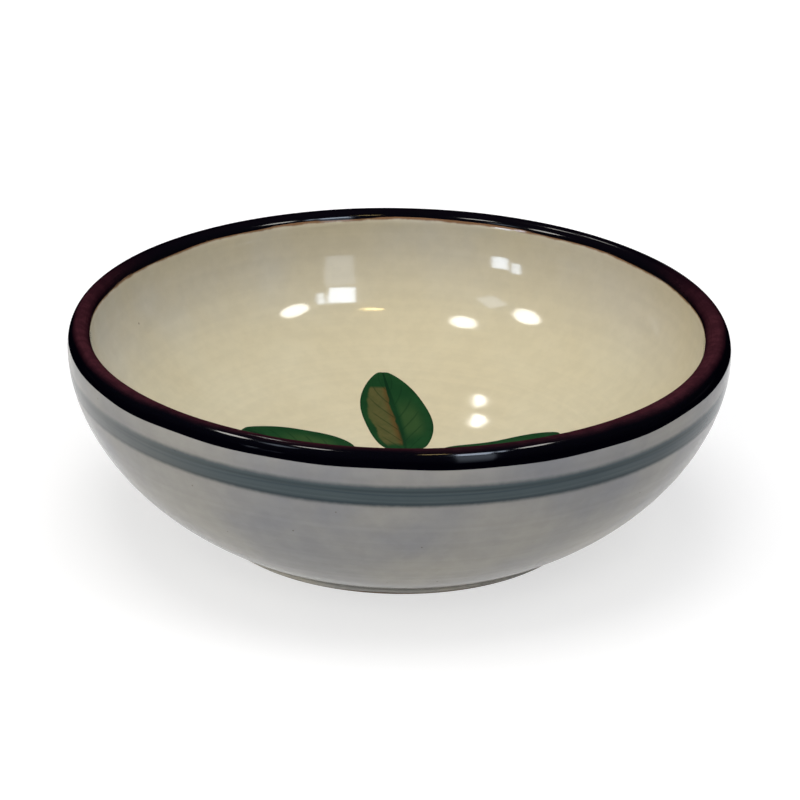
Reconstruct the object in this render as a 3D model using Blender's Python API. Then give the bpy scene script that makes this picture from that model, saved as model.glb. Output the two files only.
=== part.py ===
"""Cereal bowl in glazed stoneware.

A turned clay body carries its glaze zone by zone: cream inside, plum over the lip,
cool white outside with a grey band, white again in the recess under the foot. A ring
of leaves and a rosette are brushed on the floor of the well.

The origin is the middle of the circle the foot stands on, +Z is up.
"""

import math

import bmesh
import bpy
import numpy as np

MM = 0.001

# Overall form, measured over the glaze
BOWL_DIAMETER = 160.0 * MM
BOWL_HEIGHT = 51.2 * MM
BELLY_DROP = 5.4 * MM           # widest line, below the crest of the lip
BELLY_FULLNESS = 1.87           # a higher power gives a rounder outer wall
LIP_INSET = 3.0 * MM            # crest of the lip, in from the widest line
LIP_WIDTH = 6.4 * MM            # widest line to the inner wall
LIP_ROUND_INSIDE = 3.0 * MM     # height of the rounding on the inner side
WELL_FULLNESS = 2.15            # a higher power gives a flatter floor
FLOOR_THICKNESS = 4.6 * MM      # clay in the middle of the bowl

# Foot ring, turned in the clay
FOOT_DIAMETER = 93.4 * MM       # over the glaze
FOOT_HEIGHT = 1.5 * MM          # table to the crease under the wall
FOOT_FILLET = 0.5 * MM
FOOT_RING_WIDTH = 5.0 * MM
FOOT_EDGE = 0.25 * MM           # chamfer on both edges of the standing face
FOOT_RECESS = 2.0 * MM

# Glaze coats
GLAZE = 0.4 * MM
SEAT_GAP = 0.3 * MM             # kept between a coat and what carries or borders it
BARE_FOOT = 0.4 * MM            # clay wiped clean above the table
RIM_COAT_OUTSIDE = 3.6 * MM     # lower edge of the plum coat, below the crest
RIM_COAT_INSIDE = 1.7 * MM
BAND_DROP = 7.3 * MM            # upper edge of the grey band, below the crest
BAND_WIDTH = 5.5 * MM

# Brushed decoration in the well, laid out from the middle of the bowl
PAINT = 0.25 * MM
LEAF_START = 18.0 * MM
LEAF_REACH = 48.5 * MM          # tip of the longest leaf
LEAF_SWING = 7.0 * MM           # most that a midrib swings sideways
LEAF_WIDTH = 17.0 * MM
LEAF_BASE_WIDTH = 11.0 * MM
LEAF_TIP_WIDTH = 1.6 * MM
LEAF_FULLNESS = 0.72            # a lower power gives blunter ends
LEAVES = (                      # bearing in degrees, share of the reach, share of the swing
    (24.5, 0.91, -0.6),
    (91.0, 1.0, 1.0),
    (151.0, 0.89, 0.7),
    (213.0, 0.94, -0.7),
    (272.0, 0.98, 0.85),
    (331.0, 0.9, -0.6),
)
ROSETTE_RADIUS = 17.4 * MM      # to the end of a petal
PETAL_NOTCH = 3.0 * MM          # depth of the notch between two petals
PETALS = 5
PETAL_BEARING = 72.0
EYE_RADIUS = 4.2 * MM

# Facets
TURN_STEPS = 48
CURVE_STEPS = 240               # points on a curve before it is sampled for facets
GLAZE_STEPS = (4, 8, 2, 2, 4, 3, 15)    # foot, wall, band, shoulder, lip out and in, well
LEAF_STEPS = (8, 4)             # along and across
PETAL_STEPS = 8                 # round one petal
WELD = 0.001 * MM               # points closer than this are one

COAT_BUILD = GLAZE + SEAT_GAP
BELLY_RADIUS = BOWL_DIAMETER / 2
BELLY_HEIGHT = BOWL_HEIGHT - BELLY_DROP
CREST_RADIUS = BELLY_RADIUS - LIP_INSET
WELL_RADIUS = BELLY_RADIUS - LIP_WIDTH
WELL_TOP = BOWL_HEIGHT - LIP_ROUND_INSIDE
WELL_FLOOR = FOOT_RECESS + FLOOR_THICKNESS + COAT_BUILD
FOOT_RADIUS = FOOT_DIAMETER / 2
BARE_RADIUS = FOOT_RADIUS - COAT_BUILD
RECESS_RADIUS = BARE_RADIUS - FOOT_RING_WIDTH


def clear_scene():
    for item in list(bpy.data.objects):
        bpy.data.objects.remove(item, do_unlink=True)


def make_material(name, colour, roughness):
    material = bpy.data.materials.new(name)
    material.use_nodes = True
    shader = material.node_tree.nodes["Principled BSDF"]
    shader.inputs["Base Color"].default_value = (*colour, 1.0)
    shader.inputs["Roughness"].default_value = roughness
    shader.inputs["Metallic"].default_value = 0.0
    material.diffuse_color = (*colour, 1.0)
    return material


class BowlCurve:
    """Height over radius, level on the axis and upright at the widest radius."""

    def __init__(self, widest, top, depth, fullness):
        self.widest = widest
        self.top = top
        self.depth = depth
        self.power = 1.0 / fullness

    def share(self, radius):
        return np.maximum(1.0 - (radius / self.widest) ** 2, 0.0)

    def height(self, radius):
        return self.top - self.depth * self.share(radius) ** self.power

    def slope(self, radius):
        steepness = self.depth * self.power * self.share(radius) ** (self.power - 1.0)
        return steepness * 2.0 * radius / self.widest ** 2

    def points(self, start, end):
        """Points from one radius to another, closer together where it is steep."""
        turns = np.arcsin(np.array([start, end]) / self.widest)
        radius = self.widest * np.sin(np.linspace(*turns, CURVE_STEPS))
        return np.column_stack([radius, self.height(radius)])


def outer_wall():
    """The curve from the belly that comes down on the crease above the foot."""
    share = 1.0 - (FOOT_RADIUS / BELLY_RADIUS) ** 2
    depth = (BELLY_HEIGHT - FOOT_HEIGHT) / share ** (1.0 / BELLY_FULLNESS)
    return BowlCurve(BELLY_RADIUS, BELLY_HEIGHT, depth, BELLY_FULLNESS)


def inner_well():
    return BowlCurve(WELL_RADIUS, WELL_TOP, WELL_TOP - WELL_FLOOR, WELL_FULLNESS)


def ellipse(centre, half_width, half_height, start, end):
    turn = np.radians(np.linspace(start, end, CURVE_STEPS))
    across = centre[0] + half_width * np.cos(turn)
    up = centre[1] + half_height * np.sin(turn)
    return np.column_stack([across, up])


def foot_fillet(wall):
    """Curve from the upright face of the foot to the underside of the wall."""
    end_radius = FOOT_RADIUS + FOOT_FILLET
    end = np.array([end_radius, wall.height(end_radius)])
    corner = np.array([FOOT_RADIUS, end[1] - wall.slope(end_radius) * FOOT_FILLET])
    start = corner - np.array([0.0, FOOT_FILLET])
    t = np.linspace(0.0, 1.0, CURVE_STEPS)[:, None]
    return (1 - t) ** 2 * start + 2 * t * (1 - t) * corner + t ** 2 * end


def outside_curve():
    """Glaze surface from the bare edge of the foot up to the crest of the lip."""
    wall = outer_wall()
    foot = np.array([[FOOT_RADIUS, BARE_FOOT]])
    rise = wall.points(FOOT_RADIUS + FOOT_FILLET, BELLY_RADIUS)
    lip = ellipse((CREST_RADIUS, BELLY_HEIGHT), LIP_INSET, BELLY_DROP, 0, 90)
    return np.vstack([foot, foot_fillet(wall), rise[1:], lip[1:]])


def inside_curve():
    """Glaze surface from the crest of the lip down to the middle of the well."""
    lip = ellipse((CREST_RADIUS, WELL_TOP), CREST_RADIUS - WELL_RADIUS,
                  LIP_ROUND_INSIDE, 90, 180)
    return np.vstack([lip, inner_well().points(WELL_RADIUS, 0.0)[1:]])


class Surface:
    """The whole glaze surface as one curve, measured along its length."""

    def __init__(self):
        outside = outside_curve()
        self.points = np.vstack([outside, inside_curve()[1:]])
        steps = np.linalg.norm(np.diff(self.points, axis=0), axis=1)
        self.along = np.concatenate([[0.0], np.cumsum(steps)])
        tangent = np.gradient(self.points, self.along, axis=0)
        normal = np.column_stack([tangent[:, 1], -tangent[:, 0]])
        self.normal = normal / np.linalg.norm(normal, axis=1)[:, None]
        self.normal[-1] = (0.0, 1.0)    # level where the well meets the axis
        self.crest = self.along[len(outside) - 1]
        self.end = self.along[-1]

    def outside_at(self, height):
        rising = self.along <= self.crest
        return float(np.interp(height, self.points[rising, 1], self.along[rising]))

    def inside_at(self, height):
        falling = self.along >= self.crest
        return float(np.interp(-height, -self.points[falling, 1], self.along[falling]))

    def follow(self, values, places):
        across = np.interp(places, self.along, values[:, 0])
        up = np.interp(places, self.along, values[:, 1])
        return np.column_stack([across, up])

    def sample(self, stops, steps, depth=0.0):
        """Points through the stops, with steps between them, sunk in by depth."""
        places = [stops[0]]
        for start, end, count in zip(stops, stops[1:], steps):
            places.extend(np.linspace(start, end, count + 1)[1:])
        return self.follow(self.points, places) - depth * self.follow(self.normal, places)


def turn_solid(name, outline, material):
    """Spin a closed outline of (radius, height) points about the axis."""
    mesh = bmesh.new()
    corners = []
    for radius, height in outline:
        corners.append(mesh.verts.new((radius, 0.0, height)))
    on_axis = max(outline[0][0], outline[-1][0]) < WELD
    edges = []
    for first, second in zip(corners, corners[1:]):
        edges.append(mesh.edges.new((first, second)))
    if not on_axis:
        edges.append(mesh.edges.new((corners[-1], corners[0])))
    bmesh.ops.spin(mesh, geom=corners + edges, cent=(0, 0, 0), axis=(0, 0, 1),
                   angle=2 * math.pi, steps=TURN_STEPS, use_merge=True)
    bmesh.ops.remove_doubles(mesh, verts=mesh.verts, dist=WELD)
    bmesh.ops.recalc_face_normals(mesh, faces=mesh.faces)
    data = bpy.data.meshes.new(name)
    mesh.to_mesh(data)
    mesh.free()
    return add_object(name, data, material)


def add_object(name, data, material):
    data.materials.append(material)
    data.shade_smooth()
    data.set_sharp_from_angle(angle=math.radians(40))
    item = bpy.data.objects.new(name, data)
    bpy.context.collection.objects.link(item)
    return item


def glaze_marks(surface):
    """Places along the surface where one coat gives way to the next."""
    return {
        "bare": 0.0,
        "crease": surface.outside_at(FOOT_HEIGHT + FOOT_FILLET),
        "band_foot": surface.outside_at(BOWL_HEIGHT - BAND_DROP - BAND_WIDTH),
        "band_top": surface.outside_at(BOWL_HEIGHT - BAND_DROP),
        "rim_outside": surface.outside_at(BOWL_HEIGHT - RIM_COAT_OUTSIDE),
        "crest": surface.crest,
        "rim_inside": surface.inside_at(BOWL_HEIGHT - RIM_COAT_INSIDE),
        "middle": surface.end,
    }


def make_coat(name, surface, stops, steps, material):
    outer = surface.sample(stops, steps)
    inner = surface.sample(stops, steps, GLAZE)
    return turn_solid(name, np.vstack([inner[::-1], outer]), material)


def make_clay(surface, material):
    under = [
        (0.0, FOOT_RECESS),
        (RECESS_RADIUS, FOOT_RECESS),
        (RECESS_RADIUS, FOOT_EDGE),
        (RECESS_RADIUS + FOOT_EDGE, 0.0),
        (BARE_RADIUS - FOOT_EDGE, 0.0),
        (BARE_RADIUS, FOOT_EDGE),
    ]
    stops = list(glaze_marks(surface).values())
    glazed = surface.sample(stops, GLAZE_STEPS, COAT_BUILD)
    return turn_solid("clay_body", np.vstack([under, glazed]), material)


def make_glazes(surface, materials):
    mark = glaze_marks(surface)
    foot, wall, band, shoulder, lip_outside, lip_inside, well = GLAZE_STEPS
    make_coat("outside_glaze", surface,
              [mark["bare"], mark["crease"], mark["band_foot"] - SEAT_GAP], [foot, wall],
              materials["white"])
    make_coat("grey_band", surface, [mark["band_foot"], mark["band_top"]], [band],
              materials["grey"])
    make_coat("shoulder_glaze", surface,
              [mark["band_top"] + SEAT_GAP, mark["rim_outside"] - SEAT_GAP], [shoulder],
              materials["white"])
    make_coat("rim_glaze", surface,
              [mark["rim_outside"], mark["crest"], mark["rim_inside"]],
              [lip_outside, lip_inside], materials["plum"])
    make_coat("inside_glaze", surface,
              [mark["rim_inside"] + SEAT_GAP, mark["middle"]], [well], materials["cream"])


def make_under_glaze(material):
    edge = RECESS_RADIUS - SEAT_GAP
    upper = FOOT_RECESS - SEAT_GAP
    lower = upper - GLAZE
    outline = [(0.0, lower), (edge, lower), (edge, upper), (0.0, upper)]
    return turn_solid("underside_glaze", outline, material)


def lay_in_well(plan):
    """Plan points dropped on the well and held off it by the gap."""
    well = inner_well()
    radius = np.hypot(plan[:, 0], plan[:, 1])
    outward = plan / np.maximum(radius, WELD)[:, None]
    normal = np.column_stack([-well.slope(radius)[:, None] * outward, np.ones(len(plan))])
    normal /= np.linalg.norm(normal, axis=1)[:, None]
    return np.column_stack([plan, well.height(radius)]) + SEAT_GAP * normal


def paint_solid(name, plan, faces, material):
    """A brushed patch: the plan laid in the well and thickened upwards."""
    data = bpy.data.meshes.new(name)
    data.from_pydata(lay_in_well(plan).tolist(), [], faces)
    data.update()
    item = add_object(name, data, material)
    thicken = item.modifiers.new("Paint", "SOLIDIFY")
    thicken.thickness = PAINT
    thicken.offset = 1.0
    return item


def make_leaf(number, bearing, reach, swing, material):
    rows, columns = LEAF_STEPS
    t, side = np.meshgrid(np.linspace(0.0, 1.0, rows + 1),
                          np.linspace(-0.5, 0.5, columns + 1), indexing="ij")
    taper = LEAF_BASE_WIDTH + (LEAF_TIP_WIDTH - LEAF_BASE_WIDTH) * t
    swell = LEAF_WIDTH - (LEAF_BASE_WIDTH + LEAF_TIP_WIDTH) / 2
    width = taper + swell * np.sin(math.pi * t).clip(0.0) ** LEAF_FULLNESS
    along = LEAF_START + (reach - LEAF_START) * t
    across = width * side + swing * (t - 0.5)
    turn = math.radians(bearing)
    x = along * math.cos(turn) - across * math.sin(turn)
    y = along * math.sin(turn) + across * math.cos(turn)
    plan = np.column_stack([x.ravel(), y.ravel()])
    faces = []
    for row in range(rows):
        for column in range(columns):
            first = row * (columns + 1) + column
            beyond = first + columns + 1
            faces.append((first, beyond, beyond + 1, first + 1))
    return paint_solid(f"leaf_{number}", plan, faces, material)


def make_ring_patch(name, inner, outer, turn, material):
    """A closed ring between two outlines given as radius by bearing."""
    count = len(turn)
    direction = np.column_stack([np.cos(turn), np.sin(turn)])
    middle = (inner + outer) / 2
    plan = np.vstack([direction * r[:, None] for r in (inner, middle, outer)])
    faces = []
    for ring in range(2):
        for place in range(count):
            beside = (place + 1) % count
            first = ring * count
            second = first + count
            faces.append((first + place, second + place, second + beside, first + beside))
    return paint_solid(name, plan, faces, material)


def make_rosette(materials):
    turn = np.linspace(0.0, 2 * math.pi, PETALS * PETAL_STEPS, endpoint=False)
    lobe = np.abs(np.cos(PETALS / 2 * (turn - math.radians(PETAL_BEARING))))
    outer = ROSETTE_RADIUS - PETAL_NOTCH * (1.0 - lobe)
    inner = np.full(len(turn), EYE_RADIUS + SEAT_GAP)
    make_ring_patch("rosette_petals", inner, outer, turn, materials["plum"])
    eye_turn = turn[::2]
    plan = EYE_RADIUS * np.column_stack([np.cos(eye_turn), np.sin(eye_turn)])
    paint_solid("rosette_eye", plan, [tuple(range(len(eye_turn)))], materials["ochre"])


def build():
    clear_scene()
    materials = {
        "clay": make_material("bare stoneware", (0.36, 0.27, 0.18), 0.75),
        "cream": make_material("cream glaze", (0.62, 0.56, 0.37), 0.12),
        "white": make_material("cool white glaze", (0.35, 0.335, 0.34), 0.18),
        "grey": make_material("grey band", (0.06, 0.08, 0.09), 0.2),
        "plum": make_material("plum glaze", (0.03, 0.009, 0.013), 0.08),
        "leaf": make_material("leaf green", (0.02, 0.06, 0.02), 0.15),
        "ochre": make_material("ochre", (0.1, 0.085, 0.03), 0.15),
    }
    surface = Surface()
    make_clay(surface, materials["clay"])
    make_glazes(surface, materials)
    make_under_glaze(materials["white"])
    for number, (bearing, reach, swing) in enumerate(LEAVES, start=1):
        make_leaf(number, bearing, LEAF_REACH * reach, LEAF_SWING * swing, materials["leaf"])
    make_rosette(materials)


build()
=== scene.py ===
import math

import bpy
import numpy as np
from mathutils import Matrix, Quaternion, Vector


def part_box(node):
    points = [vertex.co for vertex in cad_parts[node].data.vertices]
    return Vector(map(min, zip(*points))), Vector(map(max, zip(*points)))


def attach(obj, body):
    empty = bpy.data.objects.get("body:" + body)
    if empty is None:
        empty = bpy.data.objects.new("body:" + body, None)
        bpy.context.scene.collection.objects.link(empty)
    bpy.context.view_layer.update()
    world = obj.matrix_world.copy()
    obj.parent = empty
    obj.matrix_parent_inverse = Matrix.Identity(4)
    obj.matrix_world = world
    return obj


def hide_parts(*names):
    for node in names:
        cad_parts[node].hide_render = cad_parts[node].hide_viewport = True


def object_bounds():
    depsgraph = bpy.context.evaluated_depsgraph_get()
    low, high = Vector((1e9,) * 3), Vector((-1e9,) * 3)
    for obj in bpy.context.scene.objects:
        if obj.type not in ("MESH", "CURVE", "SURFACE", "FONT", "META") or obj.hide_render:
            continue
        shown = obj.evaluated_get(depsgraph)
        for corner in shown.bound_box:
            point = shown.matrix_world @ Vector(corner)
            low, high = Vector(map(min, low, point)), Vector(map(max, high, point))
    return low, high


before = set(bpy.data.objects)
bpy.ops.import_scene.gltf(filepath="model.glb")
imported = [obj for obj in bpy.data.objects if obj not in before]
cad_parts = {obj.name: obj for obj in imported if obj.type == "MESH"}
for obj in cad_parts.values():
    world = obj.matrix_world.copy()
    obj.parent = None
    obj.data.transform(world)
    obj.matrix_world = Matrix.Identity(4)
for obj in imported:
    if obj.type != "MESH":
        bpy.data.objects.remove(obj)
cadBox = [list(corner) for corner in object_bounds()]
mm = 0.001
fullTurn = 2 * math.pi
sharpAngle = math.radians(50)       # edges sharper than this stay crisp
print("frame loaded:", len(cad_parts), "nodes")


# section of the bowl, measured over the glaze
bowlForm = {
    "widest": cadBox[1][0],
    "top": cadBox[1][2],
    "bellyDrop": 5.4 * mm,          # widest line below the lip
    "bellyFullness": 1.87,
    "lipInset": 3.0 * mm,           # crest of the lip in from the widest line
    "lipWidth": 6.4 * mm,
    "lipRoundInside": 3.0 * mm,
    "wellFullness": 2.15,
    "wellFloor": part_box("inside_glaze")[0].z + 0.4 * mm,
    "footRadius": 46.7 * mm,
    "footHeight": 1.5 * mm,
    "footFillet": 0.5 * mm,
    "bareFoot": 0.4 * mm,
    "points": 1200,                 # on each stretch of the section
    "spacing": 0.02 * mm,           # between points once the section is measured
    "outOfRound": 0.1 * mm,         # most that the lip is eased in by hand
    "roundWave": ((2, 3), 4),       # turns of the sines and their seed
    "lipDip": 0.12 * mm,            # most that the lip dips
    "dipWave": ((1, 2, 5), 9),
    "thinLip": 1.2 * mm,            # the lip is thinner on the left by this
    "thinBearing": 180.0,
    "thinReach": 3.0,
    "thinFrom": 25.0 * mm,          # height where the thinning starts
}


def powerCurve(radius, widest, top, depth, fullness):
    # height = top - depth * (1 - (radius / widest) squared) to the power 1 / fullness
    return top - depth * np.maximum(1 - (radius / widest) ** 2, 0) ** (1 / fullness)


def bowlSection(form):
    # foot side, a short curve into the wall, the wall by the power curve, a quarter ellipse
    # up to the crest, another down inside, and the well by the power curve to the axis
    sweep = np.linspace(0, 1, form["points"])
    widest, foot, fillet = form["widest"], form["footRadius"], form["footFillet"]
    belly = form["top"] - form["bellyDrop"]
    share = 1 - (foot / widest) ** 2
    depth = (belly - form["footHeight"]) / share ** (1 / form["bellyFullness"])

    wallStart = np.arcsin((foot + fillet) / widest)
    wallRadius = widest * np.sin(np.linspace(wallStart, math.pi / 2, form["points"]))
    wallHeight = powerCurve(wallRadius, widest, belly, depth, form["bellyFullness"])
    slope = (wallHeight[1] - wallHeight[0]) / (wallRadius[1] - wallRadius[0])
    corner = wallHeight[0] - slope * fillet
    creaseRadius = foot + fillet * sweep ** 2
    creaseHeight = ((1 - sweep) ** 2 * (corner - fillet) + 2 * sweep * (1 - sweep) * corner
                    + sweep ** 2 * wallHeight[0])
    footHeight = np.linspace(form["bareFoot"], creaseHeight[0], form["points"])

    quarter = sweep * math.pi / 2
    crest = widest - form["lipInset"]
    wellRadius = widest - form["lipWidth"]
    wellTop = form["top"] - form["lipRoundInside"]
    inRadius = wellRadius * np.cos(quarter)
    inHeight = powerCurve(inRadius, wellRadius, wellTop, wellTop - form["wellFloor"], form["wellFullness"])
    stretches = [
        (np.full_like(sweep, foot), footHeight),
        (creaseRadius, creaseHeight),
        (wallRadius, wallHeight),
        (crest + form["lipInset"] * np.cos(quarter), belly + form["bellyDrop"] * np.sin(quarter)),
        (crest - (crest - wellRadius) * np.sin(quarter), wellTop + form["lipRoundInside"] * np.cos(quarter)),
        (inRadius, inHeight),
    ]
    return np.concatenate(stretches, axis=1)


def measuredSection(radius, height, spacing):
    # the same section at even steps of its length, with the normal that points out of the clay
    along = np.concatenate([[0], np.cumsum(np.hypot(np.diff(radius), np.diff(height)))])
    even = np.linspace(0, along[-1], int(along[-1] / spacing))
    r, z = np.interp(even, along, radius), np.interp(even, along, height)
    outward, upward = np.gradient(z, even), -np.gradient(r, even)
    size = np.hypot(outward, upward)
    outward, upward = outward / size, upward / size
    outward[-1], upward[-1] = 0, 1
    return {"along": even, "r": r, "z": z, "outward": outward, "upward": upward}


section = measuredSection(*bowlSection(bowlForm), bowlForm["spacing"])
crestAlong = section["along"][np.argmax(section["z"])]
axisAlong = section["along"][-1]
rising = section["along"] <= crestAlong
falling = section["along"] >= crestAlong
print("section measured:", len(section["along"]), "points")


def outsideAt(height):
    # length along the section where the outside reaches a height
    return np.interp(height, section["z"][rising], section["along"][rising])


def insideAt(height):
    # length along the section where the inside comes down to a height
    return np.interp(-height, -section["z"][falling], section["along"][falling])


def overGlaze(along, lift):
    # point of the section at a length along it, moved out along its normal by lift
    radius = np.interp(along, section["along"], section["r"])
    height = np.interp(along, section["along"], section["z"])
    radius = radius + lift * np.interp(along, section["along"], section["outward"])
    height = height + lift * np.interp(along, section["along"], section["upward"])
    return radius, height


def slowWave(bearing, turns, seed):
    # mean of sines that fit whole numbers of times round the bowl, each with its own start
    start = np.random.default_rng(seed).uniform(0, fullTurn, len(turns))
    return sum(np.sin(turn * bearing + begin) for turn, begin in zip(turns, start)) / len(turns)


def sideSwell(bearing, most, middle, reach):
    # most * exp(reach * (cos(angle from its middle) - 1)), which dies away round the bowl
    return most * np.exp(reach * (np.cos(bearing - math.radians(middle)) - 1))


def handTurned(radius, height, bearing):
    # radius and height eased in and down by slow waves that grow with the square of the height;
    # on one side the inner face moves out: side swell * smooth step across the lip
    # * square of the height above its start
    form = bowlForm
    rise = np.clip(height / form["top"], 0, 1) ** 2 * (radius / form["widest"]) ** 2
    easeIn = form["outOfRound"] * (1 + slowWave(bearing, *form["roundWave"])) / 2
    easeDown = form["lipDip"] * (1 + slowWave(bearing, *form["dipWave"])) / 2
    inner = np.clip((form["widest"] - radius) / form["lipWidth"], 0, 1)
    inner = inner ** 2 * (3 - 2 * inner)
    climb = np.clip((height - form["thinFrom"]) / (form["top"] - form["thinFrom"]), 0, 1) ** 2
    thinner = sideSwell(bearing, form["thinLip"], form["thinBearing"], form["thinReach"])
    radius = radius - rise * easeIn + thinner * inner * climb
    height = height - rise * easeDown
    return np.stack([radius * np.cos(bearing), radius * np.sin(bearing), height], -1)


def bearings(steps):
    return np.linspace(0, fullTurn, steps, endpoint=False)[None, :]


def ringFaces(rows, columns, poles):
    # quads between neighbouring rings; the last ring meets the first, or a pole fan closes each end
    place = np.arange(rows * columns).reshape(rows, columns)
    beside = np.roll(place, -1, axis=1)
    quads = np.stack([place, beside, np.roll(beside, -1, axis=0), np.roll(place, -1, axis=0)], -1)
    if not poles:
        return quads.reshape(-1, 4).tolist()
    first = np.full(columns, rows * columns)
    fans = [np.stack([first, beside[0], place[0]], -1), np.stack([place[-1], beside[-1], first + 1], -1)]
    return quads[:-1].reshape(-1, 4).tolist() + np.concatenate(fans).tolist()


def addPiece(name, points, faces, material, nodeName, places=None):
    data = bpy.data.meshes.new(name)
    data.from_pydata(points.tolist(), [], faces)
    if places is not None:
        layer = data.attributes.new("coatPlace", "FLOAT_VECTOR", "POINT")
        layer.data.foreach_set("vector", np.ascontiguousarray(places, dtype=np.float32).ravel())
    data.materials.append(material)
    data.shade_smooth()
    data.set_sharp_from_angle(angle=sharpAngle)
    piece = bpy.data.objects.new(name, data)
    bpy.context.collection.objects.link(piece)
    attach(piece, "root")
    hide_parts(nodeName)
    print("piece", name, len(data.polygons), "faces")


def addTurned(name, rings, poles, material, nodeName, places=None):
    # rings[row, column] run round the axis; poles close both ends on it, otherwise the section is a loop
    rows, columns = rings.shape[:2]
    points = rings.reshape(-1, 3)
    spots = None if places is None else places.reshape(-1, 3)
    if poles is not None:
        points = np.concatenate([points, poles])
        if spots is not None:
            spots = np.concatenate([spots, spots[:1], spots[-1:]])
    faces = ringFaces(rows, columns, poles is not None)
    addPiece(name, points, faces, material, nodeName, spots)


# small helpers for the finishes; a tuple given to remap is from low, from high, to low, to high
def addNode(tree, kind, inputs=None, **settings):
    node = tree.nodes.new(kind)
    for key, value in settings.items():
        setattr(node, key, value)
    for key, value in (inputs or {}).items():
        if isinstance(value, bpy.types.NodeSocket):
            tree.links.new(value, node.inputs[key])
        else:
            node.inputs[key].default_value = value
    return node


def calc(tree, operation, first, second=0.0):
    return addNode(tree, "ShaderNodeMath", {0: first, 1: second}, operation=operation).outputs[0]


def product(tree, first, *others):
    # the first value times every other
    for other in others:
        first = calc(tree, "MULTIPLY", first, other)
    return first


def centred(tree, cloud, reach):
    # (cloud - 1/2) * reach
    return product(tree, calc(tree, "SUBTRACT", cloud, 0.5), reach)


def remap(tree, value, fromLow, fromHigh, toLow=0.0, toHigh=1.0):
    # smooth step from the first pair of values to the second
    inputs = {"Value": value, "From Min": fromLow, "From Max": fromHigh, "To Min": toLow, "To Max": toHigh}
    return addNode(tree, "ShaderNodeMapRange", inputs, interpolation_type="SMOOTHSTEP").outputs[0]


def mixColour(tree, share, first, second, style="MIX"):
    inputs = {0: share}
    for place, colour in ((6, first), (7, second)):
        inputs[place] = colour if isinstance(colour, bpy.types.NodeSocket) else (*colour, 1.0)
    return addNode(tree, "ShaderNodeMix", inputs, data_type="RGBA", blend_type=style).outputs[2]


def shade(tree, colour, tone):
    # colour * tone, the same on red, green and blue
    grey = addNode(tree, "ShaderNodeCombineXYZ", {0: tone, 1: tone, 2: tone}).outputs[0]
    return mixColour(tree, 1.0, colour, grey, "MULTIPLY")


def noise(tree, place, scale, detail=2.0, roughness=0.5):
    inputs = {"Vector": place, "Scale": scale, "Detail": detail, "Roughness": roughness}
    return addNode(tree, "ShaderNodeTexNoise", inputs).outputs[0]


def objectPlace(tree):
    return addNode(tree, "ShaderNodeTexCoord").outputs["Object"]


def splitPlace(tree, place):
    return addNode(tree, "ShaderNodeSeparateXYZ", {0: place}).outputs


def coatPlace(tree):
    attribute = addNode(tree, "ShaderNodeAttribute", attribute_name="coatPlace")
    return splitPlace(tree, attribute.outputs["Vector"])


def newGroup(name, inputs, outputs):
    group = bpy.data.node_groups.new(name, "ShaderNodeTree")
    for label in inputs:
        group.interface.new_socket(label, in_out="INPUT", socket_type="NodeSocketFloat")
    for label, kind in outputs.items():
        group.interface.new_socket(label, in_out="OUTPUT", socket_type=kind)
    given = group.nodes.new("NodeGroupInput").outputs
    result = group.nodes.new("NodeGroupOutput").inputs
    return group, given, result


def useGroup(tree, group, *values):
    # the group's outputs, its inputs set in order
    node = tree.nodes.new("ShaderNodeGroup")
    node.node_tree = group
    for socket, value in zip(node.inputs, values):
        socket.default_value = value
    return node.outputs


def newFinish(name):
    material = bpy.data.materials.new(name)
    material.use_nodes = True
    return material, material.node_tree, material.node_tree.nodes["Principled BSDF"]


def setFinish(tree, shader, look, colour, cloud):
    # roughness runs with the cloud; the ripple, where there is one, is a bump from noise
    tree.links.new(colour, shader.inputs["Base Color"])
    tree.links.new(remap(tree, cloud, 0.0, 1.0, *look["roughness"]), shader.inputs["Roughness"])
    shader.inputs["Specular IOR Level"].default_value = look["specular"]
    if "ripple" in look:
        scale, detail, height = look["ripple"]
        ripple = noise(tree, objectPlace(tree), scale, detail)
        bump = addNode(tree, "ShaderNodeBump", {"Strength": 1.0, "Distance": height, "Height": ripple})
        tree.links.new(bump.outputs[0], shader.inputs["Normal"])


# textures that the finishes share
textureLook = {
    "driftScale": 14.0,
    "ringDetail": 3.0,
    "cloudDetail": 4.0,
    "cloudRoughness": 0.55,
    "cloudSpan": (0.3, 0.7),
    "fleckCore": 0.4,               # share of a fleck's size that is full
}


def thrownRingsGroup(look):
    # one-dimensional noise over radius + height, which grows along both walls, so it runs in rings
    group, given, result = newGroup("thrownRings", ("Scale", "Wander"), {"Ring": "NodeSocketFloat"})
    place = objectPlace(group)
    x, y, z = splitPlace(group, place)
    radius = calc(group, "SQRT", calc(group, "ADD", product(group, x, x), product(group, y, y)))
    drift = product(group, noise(group, place, look["driftScale"]), given["Wander"])
    ring = product(group, calc(group, "ADD", calc(group, "ADD", radius, z), drift), given["Scale"])
    inputs = {"W": ring, "Scale": 1.0, "Detail": look["ringDetail"]}
    lines = addNode(group, "ShaderNodeTexNoise", inputs, noise_dimensions="1D")
    group.links.new(lines.outputs[0], result["Ring"])
    return group


def glazeCloudsGroup(look):
    group, given, result = newGroup("glazeClouds", ("Scale",), {"Cloud": "NodeSocketFloat"})
    cloud = noise(group, objectPlace(group), given["Scale"], look["cloudDetail"], look["cloudRoughness"])
    group.links.new(remap(group, cloud, *look["cloudSpan"]), result["Cloud"])
    return group


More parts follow.
